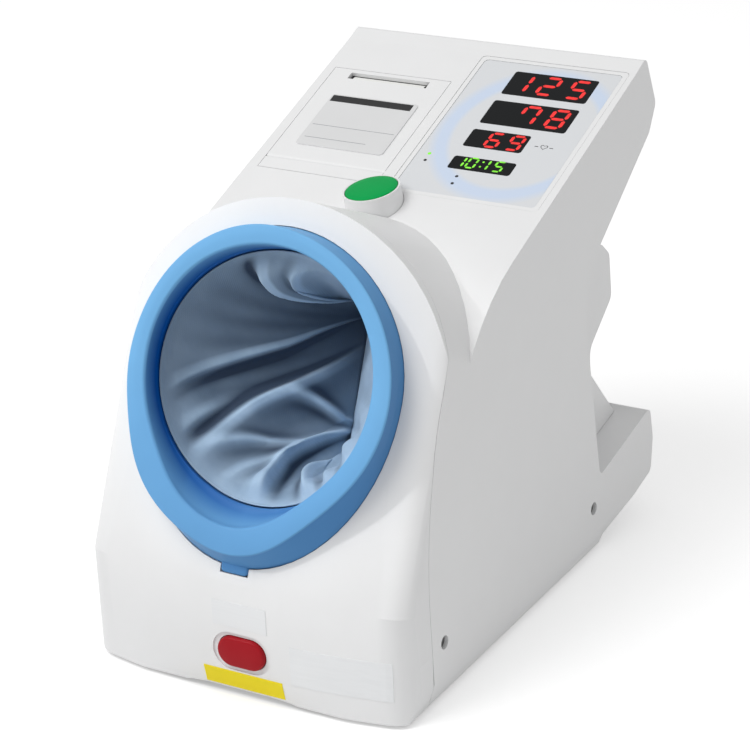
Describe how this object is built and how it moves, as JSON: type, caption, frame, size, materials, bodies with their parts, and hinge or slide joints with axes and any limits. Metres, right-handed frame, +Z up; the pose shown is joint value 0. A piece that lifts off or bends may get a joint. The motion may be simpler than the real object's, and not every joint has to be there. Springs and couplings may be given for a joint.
{
  "type": "arm-in blood pressure monitor",
  "caption": "Desk blood pressure monitor with a leaning round arm tunnel, sloping display and printer panel, start and stop buttons and a rear elbow tray.",
  "frame": {"origin": "on the floor under the middle of the device's bounding box", "axes": "+X to the device's right as seen from the front (the person's right), +Y to the back, +Z up"},
  "size_m": [0.242, 0.3986, 0.3318],
  "materials": {
    "white_shell": "satin moulded plastic",
    "inner_plastic": "plain moulded plastic",
    "blue_plastic": "satin blue plastic",
    "liner_cloth": "thin woven cloth, soft folds",
    "cuff_rubber": "matt",
    "grey_label": "satin",
    "grey_overlay": "satin film",
    "dark_window": "smooth dark window",
    "green_button": "satin",
    "red_button": "gloss",
    "yellow_label": "satin film",
    "silver_plate": "silvery film",
    "steel": "plain",
    "dark_parts": "matt",
    "black_plastic": "satin",
    "board": "circuit board",
    "roller_rubber": "matt",
    "foot_rubber": "matt",
    "paper": "thermal paper"
  },
  "bodies": {
    "monitor": {"upper_case": "white_shell", "front_cover": "white_shell", "base_chassis": "inner_plastic", "rear_hood": "white_shell", "elbow_rest": "white_shell", "arm_ring": "blue_plastic", "cuff_tube": "inner_plastic", "air_cuff": "cuff_rubber", "cuff_liner": "liner_cloth", "hinge_strip": "white_shell", "printer_chassis": "inner_plastic", "print_head": "dark_parts", "display_frame": "white_shell", "display_overlay": "grey_overlay", "display_windows": "dark_window", "digit_modules": "dark_parts", "display_board": "board", "button_housing": "white_shell", "start_switch": "dark_parts", "stop_switch": "dark_parts", "stop_label": "yellow_label", "front_plate": "silver_plate", "name_plate": "silver_plate", "case_screws": "steel", "rubber_feet": "foot_rubber", "main_board": "board", "power_supply": "steel", "air_pump": "steel", "valve_block": "dark_parts", "air_hose": "roller_rubber", "winding_motor": "steel", "speaker": "dark_parts", "power_inlet": "black_plastic", "switch_body": "black_plastic"},
    "printer_door": {"printer_cover": "white_shell", "printer_label": "grey_label", "tear_bar": "steel"},
    "start_key": {"start_button": "green_button"},
    "stop_key": {"stop_button": "red_button"},
    "platen": {"platen_roller": "roller_rubber"},
    "paper": {"paper_roll": "paper"},
    "power_key": {"power_rocker": "black_plastic"}
  },
  "joints": [
    {"name": "start_press", "type": "slide", "parent": "monitor", "child": "start_key", "axis": [0.1032, 0.1564, -0.9823], "range_m": [0, 0.0018], "stiffness_N_per_m": 400, "springref_m": -0.0008},
    {"name": "stop_press", "type": "slide", "parent": "monitor", "child": "stop_key", "axis": [0, 1, 0], "range_m": [0, 0.0025], "stiffness_N_per_m": 400, "springref_m": -0.0008},
    {"name": "printer_door_hinge", "type": "hinge", "parent": "monitor", "child": "printer_door", "pos_m": [0, 0.04434, 0.27751], "axis": [1, 0, 0], "range_deg": [0, 90]},
    {"name": "paper_spin", "type": "hinge", "parent": "monitor", "child": "paper", "pos_m": [-0.0595, 0.08937, 0.26197], "axis": [1, 0, 0], "continuous": true},
    {"name": "platen_spin", "type": "hinge", "parent": "monitor", "child": "platen", "pos_m": [-0.0595, 0.13609, 0.30026], "axis": [1, 0, 0], "continuous": true},
    {"name": "power_rocker_tilt", "type": "hinge", "parent": "monitor", "child": "power_key", "pos_m": [-0.11177, 0.02917, 0.025], "axis": [0, 1, 0], "range_deg": [0, 16]}
  ],
  "couplings": [
    {"joint": "platen_spin", "follows": "paper_spin", "ratio": 4}
  ]
}
